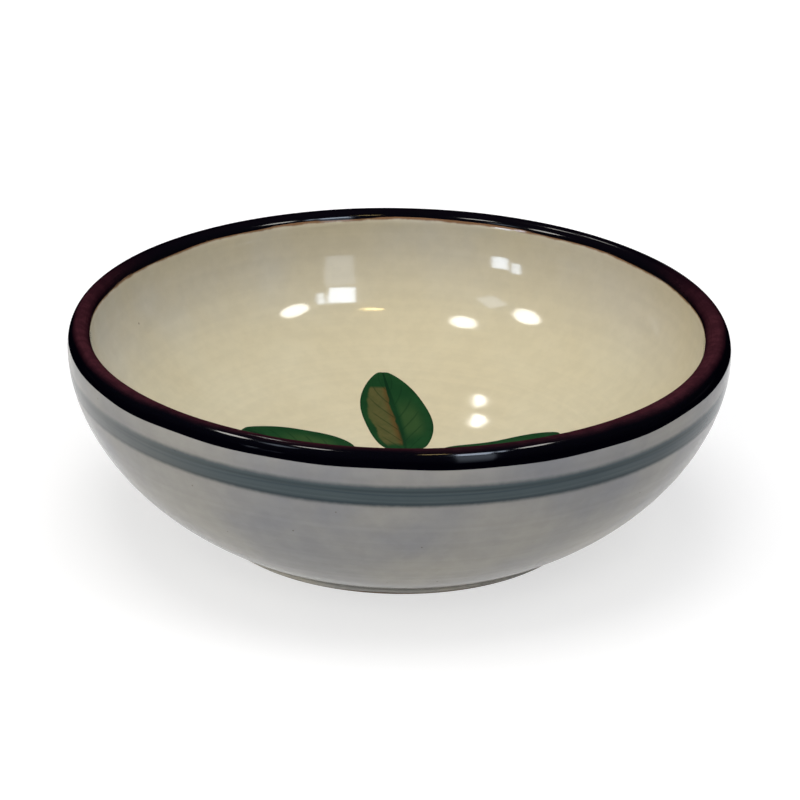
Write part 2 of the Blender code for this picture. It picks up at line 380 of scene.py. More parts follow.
def glazeFlecksGroup(look):
    # a fleck where the nearest cell point is close and the cell's own number is low
    group, given, result = newGroup("glazeFlecks", ("Scale", "Size", "Share"), {"Fleck": "NodeSocketFloat"})
    cells = addNode(group, "ShaderNodeTexVoronoi", {"Vector": objectPlace(group), "Scale": given["Scale"]})
    number = splitPlace(group, cells.outputs["Color"])[0]
    core = product(group, given["Size"], look["fleckCore"])
    spot = remap(group, cells.outputs["Distance"], given["Size"], core)
    chosen = calc(group, "LESS_THAN", number, given["Share"])
    group.links.new(product(group, spot, chosen), result["Fleck"])
    return group


thrownRings = thrownRingsGroup(textureLook)
glazeClouds = glazeCloudsGroup(textureLook)
glazeFlecks = glazeFlecksGroup(textureLook)


def cloudsAt(tree, scale):
    return useGroup(tree, glazeClouds, scale)["Cloud"]


def ringsAt(tree, scale, wander):
    return useGroup(tree, thrownRings, scale, wander)["Ring"]


def flecksAt(tree, scale, size, share):
    return useGroup(tree, glazeFlecks, scale, size, share)["Fleck"]


# cool white glaze outside: lavender and warm clouds, faint rings, fine flecks; painted light makes it paler
# and warmer low down, and paler still on the foot
whiteLook = {
    "lavender": (0.258, 0.266, 0.288),
    "warm": (0.46, 0.434, 0.36),
    "fleck": (0.12, 0.09, 0.08),
    "broadScale": 28.0,
    "fineScale": 240.0,
    "rings": (330.0, 0.004),        # scale and wander
    "flecks": (520.0, 0.16, 0.03),  # scale, size and share of the cells
    "fleckCover": 0.7,
    "cloudWarmth": 0.5,
    # painted light: towards the bottom the glaze is mixed towards the paler warm colour, for the floor's
    # bounce light
    "lowPaintedBounce": (4.0 * mm, 36.0 * mm, 0.4, 0.0),
    "ringTone": (0.3, 0.7, 0.98, 1.02),
    "fineTone": (0.0, 1.0, 0.97, 1.03),
    "footPaintedLight": (1.0 * mm, 2.0 * mm, 2.2, 1.0),     # painted light: the glaze is made paler on the foot, lifting the shade there
    "roughness": (0.14, 0.22),
    "specular": 0.14,
    "ripple": (130.0, 2.0, 0.015 * mm),     # scale, detail and height
}


def whiteColourGroup(look):
    outputs = {"Colour": "NodeSocketColor", "Cloud": "NodeSocketFloat"}
    group, _, result = newGroup("coolWhite", (), outputs)
    height = splitPlace(group, objectPlace(group))[2]
    broad = cloudsAt(group, look["broadScale"])
    fine = cloudsAt(group, look["fineScale"])
    ring = ringsAt(group, *look["rings"])
    fleck = flecksAt(group, *look["flecks"])
    # the warm clouds are the glaze's own tone; the lower wall adds painted bounce light
    lowPaintedBounce = remap(group, height, *look["lowPaintedBounce"])
    warmthAndPaintedBounce = calc(group, "ADD", product(group, broad, look["cloudWarmth"]), lowPaintedBounce)
    colour = mixColour(group, calc(group, "MINIMUM", warmthAndPaintedBounce, 1.0), look["lavender"], look["warm"])
    # the tone also carries the painted light on the foot
    tone = product(group, remap(group, ring, *look["ringTone"]), remap(group, fine, *look["fineTone"]),
                   remap(group, height, *look["footPaintedLight"]))
    colour = shade(group, colour, tone)
    colour = mixColour(group, product(group, fleck, look["fleckCover"]), colour, look["fleck"])
    group.links.new(colour, result["Colour"])
    group.links.new(broad, result["Cloud"])
    return group


coolWhite = whiteColourGroup(whiteLook)


def whiteFinish(look):
    material, tree, shader = newFinish("cool white glaze")
    white = useGroup(tree, coolWhite)
    setFinish(tree, shader, look, white["Colour"], white["Cloud"])
    return material


# grey band: a few brush passes under the same glaze, with a darker line near each edge; painted light and
# shade change how much of it shows round the bowl
bandLook = {
    "pale": (0.086, 0.113, 0.12),
    "grey": (0.05, 0.074, 0.088),
    "line": (0.039, 0.057, 0.066),
    "patchScale": 55.0,
    "patchCover": 0.45,
    "grainScale": 700.0,
    "strokes": (900.0, 0.003),
    "strokeSpan": (0.35, 0.65),
    "footLine": (1.0 * mm, 2.2 * mm, 1.0, 0.0),
    "topLineAt": 2.2 * mm,
    "topLine": (0.0, 0.7 * mm, 0.6, 0.0),
    "blur": 0.12 * mm,
    "softTop": (0.1 * mm, 1.6 * mm),
    "softFoot": (0.05 * mm, 1.4 * mm),
    "slant": 0.25,
    "paintedSideLight": (-76.0 * mm, -5.0 * mm, 1.0, 0.52),     # painted light: the band thins towards both sides, most on the left where the side light falls
    "paintedRightShade": (34.0 * mm, 76.0 * mm, 0.0, 0.48),   # painted shade: the band stays fuller on the right, away from the side light
}


def bandFinish(look):
    material, tree, shader = newFinish("grey band")
    fromFoot, fromTop = coatPlace(tree)[:2]
    across, back = splitPlace(tree, objectPlace(tree))[:2]
    white = useGroup(tree, coolWhite)
    patchy = cloudsAt(tree, look["patchScale"])
    grain = cloudsAt(tree, look["grainScale"])
    stroke = ringsAt(tree, *look["strokes"])
    body = mixColour(tree, remap(tree, stroke, *look["strokeSpan"]), look["grey"], look["pale"])
    body = mixColour(tree, product(tree, patchy, look["patchCover"]), body, look["grey"])
    footLine = remap(tree, fromFoot, *look["footLine"])
    fromTopLine = calc(tree, "ABSOLUTE", calc(tree, "SUBTRACT", fromTop, look["topLineAt"]))
    topLine = remap(tree, fromTopLine, *look["topLine"])
    body = mixColour(tree, calc(tree, "MAXIMUM", footLine, topLine), body, look["line"])

    # what the brush covers: soft at both edges, thinner towards the sides as painted light, fuller on the
    # right as painted shade
    blur = centred(tree, grain, look["blur"])
    top = remap(tree, calc(tree, "ADD", fromTop, blur), *look["softTop"])
    foot = remap(tree, calc(tree, "ADD", fromFoot, blur), *look["softFoot"])
    turned = calc(tree, "SUBTRACT", back, product(tree, across, look["slant"]))
    paintedSideLight = calc(tree, "ADD", remap(tree, turned, *look["paintedSideLight"]), remap(tree, across, *look["paintedRightShade"]))
    cover = product(tree, top, foot, calc(tree, "MINIMUM", paintedSideLight, 1.0))
    colour = mixColour(tree, cover, white["Colour"], body)
    setFinish(tree, shader, whiteLook, colour, white["Cloud"])
    return material


# plum glaze on the lip: nearly black where it is thick, red brown where it thins on the crest; painted shade
# keeps the far side black
plumLook = {
    "black": (0.0007, 0.0006, 0.0022),
    "plum": (0.013, 0.003, 0.006),
    "red": (0.05, 0.013, 0.019),
    "brown": (0.16, 0.075, 0.03),
    "cloudScale": 60.0,
    "fineScale": 420.0,
    "lines": (1500.0, 0.002),
    "front": (-0.95 * bowlForm["widest"], -0.5 * bowlForm["widest"]),
    "crest": (0.73, 0.645),         # share of the coat where it is thinnest, in front and at the sides
    "crestWander": 0.06,
    "thin": (0.355, 0.071),         # distance from the crest where it is thick, and where it is thinnest
    "frontThin": 0.6,               # the coat thins less in front
    "farPaintedShade": (-10.0 * mm, 45.0 * mm, 1.0, 0.02),  # painted shade: on the far side the red hardly shows and the rim stays nearly black
    "redness": (0.05, 0.5, 0.6, 1.0),
    "innerEdge": (0.0, 0.4 * mm, 0.8, 0.0),
    "roughness": (0.3, 0.4),
    "specular": 0.0,
    "glossFacing": (0.62, 0.25),    # gloss by how far the surface turns from the eye
    "glossEdge": (1.4 * mm, 2.8 * mm),      # the outer edge of the coat fires dull
    "coatRoughness": 0.08,
    "coatIor": 1.34,
}


def plumFinish(look):
    material, tree, shader = newFinish("plum glaze")
    fromOutside, fromInside, share = coatPlace(tree)
    back = splitPlace(tree, objectPlace(tree))[1]
    clouds = cloudsAt(tree, look["cloudScale"])
    fine = cloudsAt(tree, look["fineScale"])
    lines = ringsAt(tree, *look["lines"])
    wander = centred(tree, clouds, look["crestWander"])
    crest = remap(tree, back, *look["front"], *look["crest"])
    away = calc(tree, "ABSOLUTE", calc(tree, "SUBTRACT", calc(tree, "ADD", share, wander), crest))
    # thin also carries the painted shade on the far side
    thin = product(tree, remap(tree, away, *look["thin"]), remap(tree, back, *look["farPaintedShade"]),
                   remap(tree, back, *look["front"], look["frontThin"], 1.0))
    colour = mixColour(tree, thin, look["black"], look["plum"])
    redness = product(tree, thin, remap(tree, product(tree, lines, fine), *look["redness"]))
    colour = mixColour(tree, redness, colour, look["red"])
    colour = mixColour(tree, remap(tree, fromInside, *look["innerEdge"]), colour, look["brown"])
    setFinish(tree, shader, look, colour, clouds)
    facing = addNode(tree, "ShaderNodeLayerWeight", {"Blend": 0.5}).outputs["Facing"]
    gloss = product(tree, remap(tree, facing, *look["glossFacing"]),
                    remap(tree, fromOutside, *look["glossEdge"]))
    tree.links.new(gloss, shader.inputs["Coat Weight"])
    shader.inputs["Coat Roughness"].default_value = look["coatRoughness"]
    shader.inputs["Coat IOR"].default_value = look["coatIor"]
    return material


# cream glaze inside: yellower where it pools, a brown fringe under the lip, small iron flecks; painted light
# yellows the upper wall on the right
creamLook = {
    "upper": (0.56, 0.545, 0.495),
    "paintedLitSide": (0.585, 0.53, 0.415),
    "well": (0.655, 0.6, 0.43),
    "pool": (0.6, 0.525, 0.345),
    "fringe": (0.2, 0.085, 0.03),
    "fleck": (0.15, 0.105, 0.085),
    "broadScale": 24.0,
    "fineScale": 300.0,
    "rings": (260.0, 0.006),
    "flecks": (120.0, 0.05, 0.16),
    "fleckCover": 0.55,
    "paintedLitAcross": (25.0 * mm, 75.0 * mm),   # painted light: yellower towards the right, where the light from the left falls
    "upperHeight": (22.0 * mm, 44.0 * mm),
    "poolCover": 0.6,
    "ringTone": (0.3, 0.7, 0.985, 1.015),
    "fineTone": (0.0, 1.0, 0.98, 1.02),
    "fringeRagged": 0.25 * mm,
    "fringeDepth": (0.35 * mm, 0.9 * mm, 0.9, 0.0),
    "roughness": (0.05, 0.08),
    "specular": 0.5,
    "ripple": (110.0, 2.0, 0.015 * mm),
}


def creamFinish(look):
    material, tree, shader = newFinish("cream glaze")
    fromLip = coatPlace(tree)[0]
    place = splitPlace(tree, objectPlace(tree))
    broad = cloudsAt(tree, look["broadScale"])
    fine = cloudsAt(tree, look["fineScale"])
    ring = ringsAt(tree, *look["rings"])
    fleck = flecksAt(tree, *look["flecks"])
    # painted light on the upper right wall
    upper = mixColour(tree, remap(tree, place["X"], *look["paintedLitAcross"]), look["upper"], look["paintedLitSide"])
    colour = mixColour(tree, remap(tree, place["Z"], *look["upperHeight"]), look["well"], upper)
    colour = mixColour(tree, product(tree, broad, look["poolCover"]), colour, look["pool"])
    tone = product(tree, remap(tree, ring, *look["ringTone"]), remap(tree, fine, *look["fineTone"]))
    colour = shade(tree, colour, tone)
    ragged = calc(tree, "ADD", fromLip, centred(tree, fine, look["fringeRagged"]))
    colour = mixColour(tree, remap(tree, ragged, *look["fringeDepth"]), colour, look["fringe"])
    colour = mixColour(tree, product(tree, fleck, look["fleckCover"]), colour, look["fleck"])
    setFinish(tree, shader, look, colour, broad)
    return material


# bare stoneware on the wiped foot
clayLook = {
    "buff": (0.36, 0.27, 0.18),
    "dark": (0.24, 0.165, 0.105),
    "grog": (0.11, 0.07, 0.045),
    "rings": (900.0, 0.002),
    "ringCover": (0.3, 0.7, 0.0, 0.5),
    "cloudScale": 150.0,
    "cloudCover": 0.4,
    "flecks": (700.0, 0.35, 0.2),
    "fleckCover": 0.7,
    "roughness": (0.7, 0.9),
    "specular": 0.5,
    "ripple": (1400.0, 3.0, 0.05 * mm),
}


def clayFinish(look):
    material, tree, shader = newFinish("bare stoneware")
    ring = ringsAt(tree, *look["rings"])
    clouds = cloudsAt(tree, look["cloudScale"])
    fleck = flecksAt(tree, *look["flecks"])
    colour = mixColour(tree, remap(tree, ring, *look["ringCover"]), look["buff"], look["dark"])
    colour = mixColour(tree, product(tree, clouds, look["cloudCover"]), colour, look["dark"])
    colour = mixColour(tree, product(tree, fleck, look["fleckCover"]), colour, look["grog"])
    setFinish(tree, shader, look, colour, clouds)
    return material


# brushed leaf: deep green outline and midrib, ochre on one half, lighter green on the other;
# along runs from 0 at the base to 1 at the tip, across from 0 on the midrib to 1/2 at the edge
leafLook = {
    "green": (0.011, 0.052, 0.016),
    "light": (0.033, 0.073, 0.022),
    "deep": (0.004, 0.025, 0.009),
    "ochre": (0.091, 0.085, 0.029),
    "rust": (0.1, 0.05, 0.014),
    "fineScale": 520.0,
    "broadScale": 140.0,
    "wobble": 0.05,
    "deepCover": 0.55,
    "paleAlong": ((0.1, 0.3), (0.75, 0.45)),        # where the lighter block comes in and goes out
    "paleAcross": ((-0.02, -0.1), (-0.4, -0.22)),
    "paleCover": 0.8,
    "ochreAlong": ((0.02, 0.12), (0.83, 0.79)),
    "ochreAcross": ((0.02, 0.05), (0.37, 0.33)),
    "ochreCover": (0.0, 1.0, 0.75, 0.95),
    "rustAcross": (0.14, 0.03, 0.0, 0.8),
    "veins": 6.0,
    "veinLean": 5.0,
    "veinLine": (0.1, 0.03),
    "veinFade": (0.34, 0.25, 0.0, 0.45),
    "midrib": (0.045, 0.02),
    "midribTip": (0.6, 0.82, 0.55, 1.0),
    "outline": (0.4, 0.47, 0.0, 0.6),
    "roughness": (0.1, 0.15),
    "specular": 0.14,
}


def softBlock(tree, entering, leaving, ends):
    # rises over the first pair of ends, falls over the second
    return product(tree, remap(tree, entering, *ends[0]), remap(tree, leaving, *ends[1]))


def leafFinish(look):
    material, tree, shader = newFinish("leaf green")
    along, across = coatPlace(tree)[:2]
    fine = cloudsAt(tree, look["fineScale"])
    broad = cloudsAt(tree, look["broadScale"])
    wobble = centred(tree, broad, look["wobble"])
    unsteadyAlong = calc(tree, "ADD", along, wobble)
    unsteadyAcross = calc(tree, "ADD", across, wobble)
    away = calc(tree, "ABSOLUTE", across)
    colour = mixColour(tree, product(tree, broad, look["deepCover"]), look["green"], look["deep"])

    # the lighter half and the ochre patch, each a soft block between midrib and edge
    pale = product(tree, softBlock(tree, unsteadyAlong, along, look["paleAlong"]),
                   softBlock(tree, across, across, look["paleAcross"]), look["paleCover"])
    colour = mixColour(tree, pale, colour, look["light"])
    patch = product(tree, softBlock(tree, unsteadyAlong, along, look["ochreAlong"]),
                    softBlock(tree, unsteadyAcross, unsteadyAcross, look["ochreAcross"]),
                    remap(tree, fine, *look["ochreCover"]))
    patchColour = mixColour(tree, remap(tree, across, *look["rustAcross"]), look["ochre"], look["rust"])
    colour = mixColour(tree, patch, colour, patchColour)

    # veins lean towards the tip, the midrib is strongest there
    lean = calc(tree, "SUBTRACT", product(tree, along, look["veins"]), product(tree, away, look["veinLean"]))
    gap = calc(tree, "ABSOLUTE", calc(tree, "SUBTRACT", calc(tree, "FRACT", lean), 0.5))
    vein = product(tree, remap(tree, gap, *look["veinLine"]), remap(tree, away, *look["veinFade"]))
    midrib = product(tree, remap(tree, away, *look["midrib"]), remap(tree, along, *look["midribTip"]))
    lines = calc(tree, "MAXIMUM", calc(tree, "MAXIMUM", vein, midrib), remap(tree, away, *look["outline"]))
    colour = mixColour(tree, lines, colour, look["deep"])
    setFinish(tree, shader, look, colour, fine)
    return material


# rosette petals: plum, washed with wine between rim and eye
petalLook = {
    "plum": (0.022, 0.006, 0.01),
    "wine": (0.05, 0.014, 0.02),
    "fineScale": 480.0,
    "fineCover": 0.3,
    "broadScale": 150.0,
    "wash": ((0.1, 0.3), (0.75, 0.4)),
    "roughness": (0.1, 0.15),
    "specular": 0.12,
}


def petalFinish(look):
    material, tree, shader = newFinish("rosette plum")
    share = coatPlace(tree)[2]
    fine = cloudsAt(tree, look["fineScale"])
    broad = cloudsAt(tree, look["broadScale"])
    wash = product(tree, softBlock(tree, share, share, look["wash"]), broad)
    colour = mixColour(tree, wash, look["plum"], look["wine"])
    colour = mixColour(tree, product(tree, fine, look["fineCover"]), colour, look["plum"])
    setFinish(tree, shader, look, colour, fine)
    return material


# rosette eye: ochre that darkens to its rim, stippled
eyeLook = {
    "ochre": (0.13, 0.1, 0.035),
    "umber": (0.045, 0.03, 0.012),
    "fineScale": 900.0,
    "flecks": (1100.0, 0.4, 0.4),
    "fleckCover": 0.8,
    "rimCover": (0.5, 0.9, 0.0, 0.6),
    "roughness": (0.1, 0.16),
    "specular": 0.5,
}


def eyeFinish(look):
    material, tree, shader = newFinish("rosette ochre")
    share = coatPlace(tree)[2]
    fine = cloudsAt(tree, look["fineScale"])
    fleck = flecksAt(tree, *look["flecks"])
    colour = mixColour(tree, remap(tree, share, *look["rimCover"]), look["ochre"], look["umber"])
    colour = mixColour(tree, product(tree, fleck, look["fleckCover"]), colour, look["umber"])
    setFinish(tree, shader, look, colour, fine)
    return material


whiteGlaze = whiteFinish(whiteLook)
bandGlaze = bandFinish(bandLook)
plumGlaze = plumFinish(plumLook)
creamGlaze = creamFinish(creamLook)
bareClay = clayFinish(clayLook)
leafPaint = leafFinish(leafLook)
petalPaint = petalFinish(petalLook)
eyePaint = eyeFinish(eyeLook)
print("finishes made:", len(bpy.data.materials))


# where one coat gives way to the next, as heights on the section that wander with the bearing
coatEdges = {
    "bandFoot": bowlForm["top"] - 12.8 * mm,
    "bandTop": bowlForm["top"] - 7.3 * mm,
    "rimOutside": bowlForm["top"] - 3.5 * mm,
    "rimInside": bowlForm["top"] - 2.4 * mm,
    "bandWander": 0.3 * mm,
    "rimWander": 0.28 * mm,
    "bandFootWave": ((2, 3, 7), 21),
    "bandTopWave": ((1, 3, 8), 22),
    "rimOutsideWave": ((2, 5, 11, 19), 23),
    "rimInsideWave": ((2, 4, 9, 17), 24),
    "bandSoft": 0.6 * mm,           # the brushed edge fades out this far past the band
    "dip": (0.7 * mm, -50.0, 4.0),  # all the outer edges run low on one side: most, bearing and reach
    "rimShort": (0.55 * mm, 90.0, 4.0),     # the plum stops short inside on the far side
    "lap": 0.4 * mm,                # a coat runs on under the one that laps it
    "depth": 0.35 * mm,
    "steps": 320,
}
bearing = bearings(coatEdges["steps"])


def outerEdge(edge, wander):
    # length along the section at the edge's height, less the dip on one side, plus a slow wave
    dip = sideSwell(bearing, *coatEdges["dip"])
    return outsideAt(coatEdges[edge]) - dip + coatEdges[wander] * slowWave(bearing, *coatEdges[edge + "Wave"])


def innerEdge():
    # length along the section at the plum's inner height, plus a slow wave, less the far side's swell
    wave = coatEdges["rimWander"] * slowWave(bearing, *coatEdges["rimInsideWave"])
    return insideAt(coatEdges["rimInside"]) + wave - sideSwell(bearing, *coatEdges["rimShort"])


bandFoot = outerEdge("bandFoot", "bandWander") - coatEdges["bandSoft"]
bandTop = outerEdge("bandTop", "bandWander") + coatEdges["bandSoft"]
rimOutside = outerEdge("rimOutside", "rimWander")
rimInside = innerEdge()


def coatRings(lower, upper, shares, lift, backRows):
    # front: along = lower + (upper - lower) * share, lifted; back: the same stretch sunk by depth
    back = np.linspace(1, 0, backRows)[:, None]
    backAlong = lower + (upper - lower) * back
    along = lower + (upper - lower) * shares[:, None]
    behind = handTurned(*overGlaze(backAlong, -coatEdges["depth"]), bearing)
    front = handTurned(*overGlaze(along, lift(along, shares[:, None], bearing)), bearing)
    rings = np.concatenate([behind, front])
    every = np.concatenate([backAlong, along])
    places = np.stack([every - lower, upper - every, (every - lower) / (upper - lower)], -1)
    return rings, places


# clay body, seen only at the foot
clayForm = {
    "recessRadius": 41.0 * mm,
    "recess": 2.0 * mm,
    "recessRows": 12,
    "edge": 0.3 * mm,
    "edgeRows": 7,
    "sunk": 0.38 * mm,
    "rows": 110,
    "steps": 200,
}


def makeClay(form):
    # a flat recess, the standing ring with rounded edges, then the glaze line sunk by the coat
    arc = np.linspace(0, math.pi / 2, form["edgeRows"])
    inner, outer, edge = form["recessRadius"], bowlForm["footRadius"] - form["sunk"], form["edge"]
    recess = np.linspace(0, 1, form["recessRows"])[1:]
    along = np.linspace(0, axisAlong, form["rows"] + 1)[:-1]
    stretches = [
        (inner * recess, np.full_like(recess, form["recess"])),
        (inner + edge * (1 - np.cos(arc)), edge * (1 - np.sin(arc))),
        (outer - edge * (1 - np.sin(arc)), edge * (1 - np.cos(arc))),
        overGlaze(along, -form["sunk"]),
    ]
    radius, height = np.concatenate(stretches, axis=1)[..., None]
    rings = handTurned(radius, height, bearings(form["steps"]))
    poles = [(0, 0, form["recess"]), (0, 0, bowlForm["wellFloor"] - form["sunk"])]
    addTurned("clayBody", rings, poles, bareClay, "clay_body")


makeClay(clayForm)


# glaze outside, from the wiped foot to just under the band
outsideCoat = {
    "footRows": 34,
    "wallRows": 86,
    "backRows": 24,
    "footReach": 5.0 * mm,
    "footWander": 0.16 * mm,
    "footWave": ((3, 7, 13), 31),
    "roll": 0.07 * mm,
    "rollReach": 0.5 * mm,
    "turning": 0.012 * mm,
    "turningPitch": 5.5 * mm,
}


def makeOutside(coat):
    # lift = roll * exp(-length above the foot edge / reach) + turning * sin(length / pitch + bearing)
    lower = coat["footWander"] * (1 + slowWave(bearing, *coat["footWave"]))
    upper = bandFoot + coatEdges["lap"]
    split = coat["footReach"] / float(upper.mean())
    shares = np.concatenate([np.linspace(0, split, coat["footRows"], endpoint=False),
                             np.linspace(split, 1, coat["wallRows"])])

    def lift(along, share, turn):
        roll = coat["roll"] * np.exp(-(along - lower) / coat["rollReach"])
        marks = coat["turning"] * np.sin(fullTurn * along / coat["turningPitch"] + turn)
        return roll + marks * np.clip(along / coat["footReach"], 0, 1)

    rings, places = coatRings(lower, upper, shares, lift, coat["backRows"])
    addTurned("outsideGlaze", rings, None, whiteGlaze, "outside_glaze", places)


makeOutside(outsideCoat)


# brushed band, a flat pillow
bandCoat = {"rows": 30, "backRows": 8, "build": 0.03 * mm, "flatness": 8}


def makeBand(coat):
    # lift = build * (1 - (2 * share - 1) to the power flatness)
    shares = np.linspace(0, 1, coat["rows"])

    def lift(along, share, turn):
        return coat["build"] * (1 - (2 * share - 1) ** coat["flatness"])

    rings, places = coatRings(bandFoot, bandTop, shares, lift, coat["backRows"])
    addTurned("greyBand", rings, None, bandGlaze, "grey_band", places)


makeBand(bandCoat)


# plain stretch of glaze between band and rim, running on under both
shoulderCoat = {"rows": 24, "backRows": 8}


def makeShoulder(coat):
    # lift = 0 from one edge to the other
    shares = np.linspace(0, 1, coat["rows"])
    lower, upper = bandTop - coatEdges["lap"], rimOutside + coatEdges["lap"]

    def lift(along, share, turn):
        return np.zeros_like(along)

    rings, places = coatRings(lower, upper, shares, lift, coat["backRows"])
    addTurned("shoulderGlaze", rings, None, whiteGlaze, "shoulder_glaze", places)


makeShoulder(shoulderCoat)


# plum coat over the lip, a pillow with round edges, a little uneven round the bowl
rimCoat = {
    "rows": 64,
    "backRows": 16,
    "build": 0.11 * mm,
    "flatness": 6,
    "runs": 0.03 * mm,
    "runWave": ((4, 9, 15), 41),
    "settle": 0.14 * mm,            # keeps the crest within the bowl's height
    "settlePower": 8,
}


def makeRim(coat):
    # lift = (build + runs * slow wave) * (1 - (2 * share - 1) to the power flatness);
    # height then settles by settle * (height / top) to its power
    shares = np.linspace(0, 1, coat["rows"])

    def lift(along, share, turn):
        pillow = 1 - (2 * share - 1) ** coat["flatness"]
        return pillow * (coat["build"] + coat["runs"] * slowWave(turn, *coat["runWave"]))

    rings, places = coatRings(rimOutside, rimInside, shares, lift, coat["backRows"])
    rings[..., 2] -= coat["settle"] * np.clip(rings[..., 2] / bowlForm["top"], 0, 1) ** coat["settlePower"]
    addTurned("rimGlaze", rings, None, plumGlaze, "rim_glaze", places)


makeRim(rimCoat)


# cream coat in the well, with the spiral that the fingers leave
insideCoat = {"rows": 190, "backRows": 30, "spiral": 0.004 * mm, "spiralPitch": 6.4 * mm, "fade": 30.0 * mm}


def thrownLift(along, turn):
    # a spiral wave that starts below the lip: spiral * sin(length / pitch + bearing)
    coat = insideCoat
    start = np.clip((along - crestAlong) / coat["fade"], 0, 1)
    end = np.clip((axisAlong - along) / coat["spiralPitch"], 0, 1)
    return coat["spiral"] * start * end * np.sin(fullTurn * along / coat["spiralPitch"] + turn)


def makeInside(coat):
    # lift = the thrown spiral, from under the plum to the axis
    shares = np.linspace(0, 1, coat["rows"])
    lower, upper = rimInside - coatEdges["lap"], np.full_like(bearing, axisAlong)

    def lift(along, share, turn):
        return thrownLift(along, turn)

    rings, places = coatRings(lower, upper, shares, lift, coat["backRows"])
    poles = [rings[0, 0], rings[-1, 0]]
    addTurned("insideGlaze", rings[1:-1], poles, creamGlaze, "inside_glaze", places[1:-1])


makeInside(insideCoat)


# glaze in the recess under the foot
underCoat = {
    "rows": 40,
    "thick": 0.4 * mm,
    "gap": 0.1 * mm,
    "seat": 0.02 * mm,
    "meniscus": 0.35 * mm,
    "meniscusReach": 0.9 * mm,
    "turning": 0.02 * mm,
    "turningPitch": 4.5 * mm,
}


def makeUnderside(coat):
    # a disc that turns down at its edge, drop = meniscus * exp(-gap to the edge / reach), with turning rings
    edge = clayForm["recessRadius"] - coat["gap"]
    face, seat = clayForm["recess"] - coat["thick"], clayForm["recess"] - coat["seat"]
    radius = np.linspace(0, edge, coat["rows"])[1:, None]
    drop = coat["meniscus"] * np.exp(-(edge - radius) / coat["meniscusReach"])
    marks = coat["turning"] * np.sin(fullTurn * radius / coat["turningPitch"] + bearing)
    lower = face - drop + marks * np.clip(radius / coat["turningPitch"], 0, 1)
    front = handTurned(radius, lower, bearing)
    back = handTurned(radius, np.full_like(lower, seat), bearing)[::-1]
    rings = np.concatenate([front, back])
    poles = [(0, 0, face), (0, 0, seat)]
    addTurned("undersideGlaze", rings, poles, whiteGlaze, "underside_glaze")


makeUnderside(underCoat)


def onWell(x, y, lift):
    # a plan point dropped on the thrown surface of the well and lifted along its normal
    radius = np.hypot(x, y)
    turn = np.arctan2(y, x)
    along = np.interp(-radius, -section["r"][falling], section["along"][falling])
    return handTurned(*overGlaze(along, lift + thrownLift(along, turn)), turn)


def patchFaces(rows, columns):
    # quads over the top, the same turned over below, and a strip of quads round the edge
    place = np.arange(rows * columns).reshape(rows, columns)
    top = np.stack([place[:-1, :-1], place[1:, :-1], place[1:, 1:], place[:-1, 1:]], -1).reshape(-1, 4)
    under = top[:, ::-1] + rows * columns
    edge = np.concatenate([place[0, :], place[1:, -1], place[-1, -2::-1], place[-2:0:-1, 0]])
    after = np.roll(edge, -1)
    sides = np.stack([edge, after, after + rows * columns, edge + rows * columns], -1)
    return np.concatenate([top, under, sides]).tolist()


# six leaves round the middle, close to the plan of the solids
leafForm = {
    "start": 18.0 * mm,
    "reach": 48.5 * mm,
    "swing": 7.0 * mm,
    "width": 19.1 * mm,
    "baseWidth": 10.4 * mm,
    "tipWidth": 6.0 * mm,
    "fullness": 0.666,
    "tipRound": 9,
    "endCut": 0.98,                 # how nearly both ends close
    "wobble": 0.025,                # unsteadiness of the brush, as a share of the width
    "wobbleTurns": 9,
    "rows": 72,
    "columns": 33,
    "lift": 0.025 * mm,
    "edgePower": 6,
    "tipPower": 30,
    "sunkEdge": 0.02 * mm,
    "depth": 0.15 * mm,
    "tuck": 0.1,                    # share of the length that runs on under the rosette
    # bearing, share of the reach, shares of the swing for tilt and bend, side of the ochre
    "leaves": (
        (27.2, 0.897, -1.5, -0.5, -1),
        (92.0, 1.0, 0.76, -0.06, 1),
        (150.8, 0.868, 1.5, -0.04, 1),
        (213.0, 0.94, -0.9, -0.3, -1),
        (272.0, 0.98, 0.85, 0.2, 1),
        (331.0, 0.9, -0.9, -0.35, -1),
    ),
}


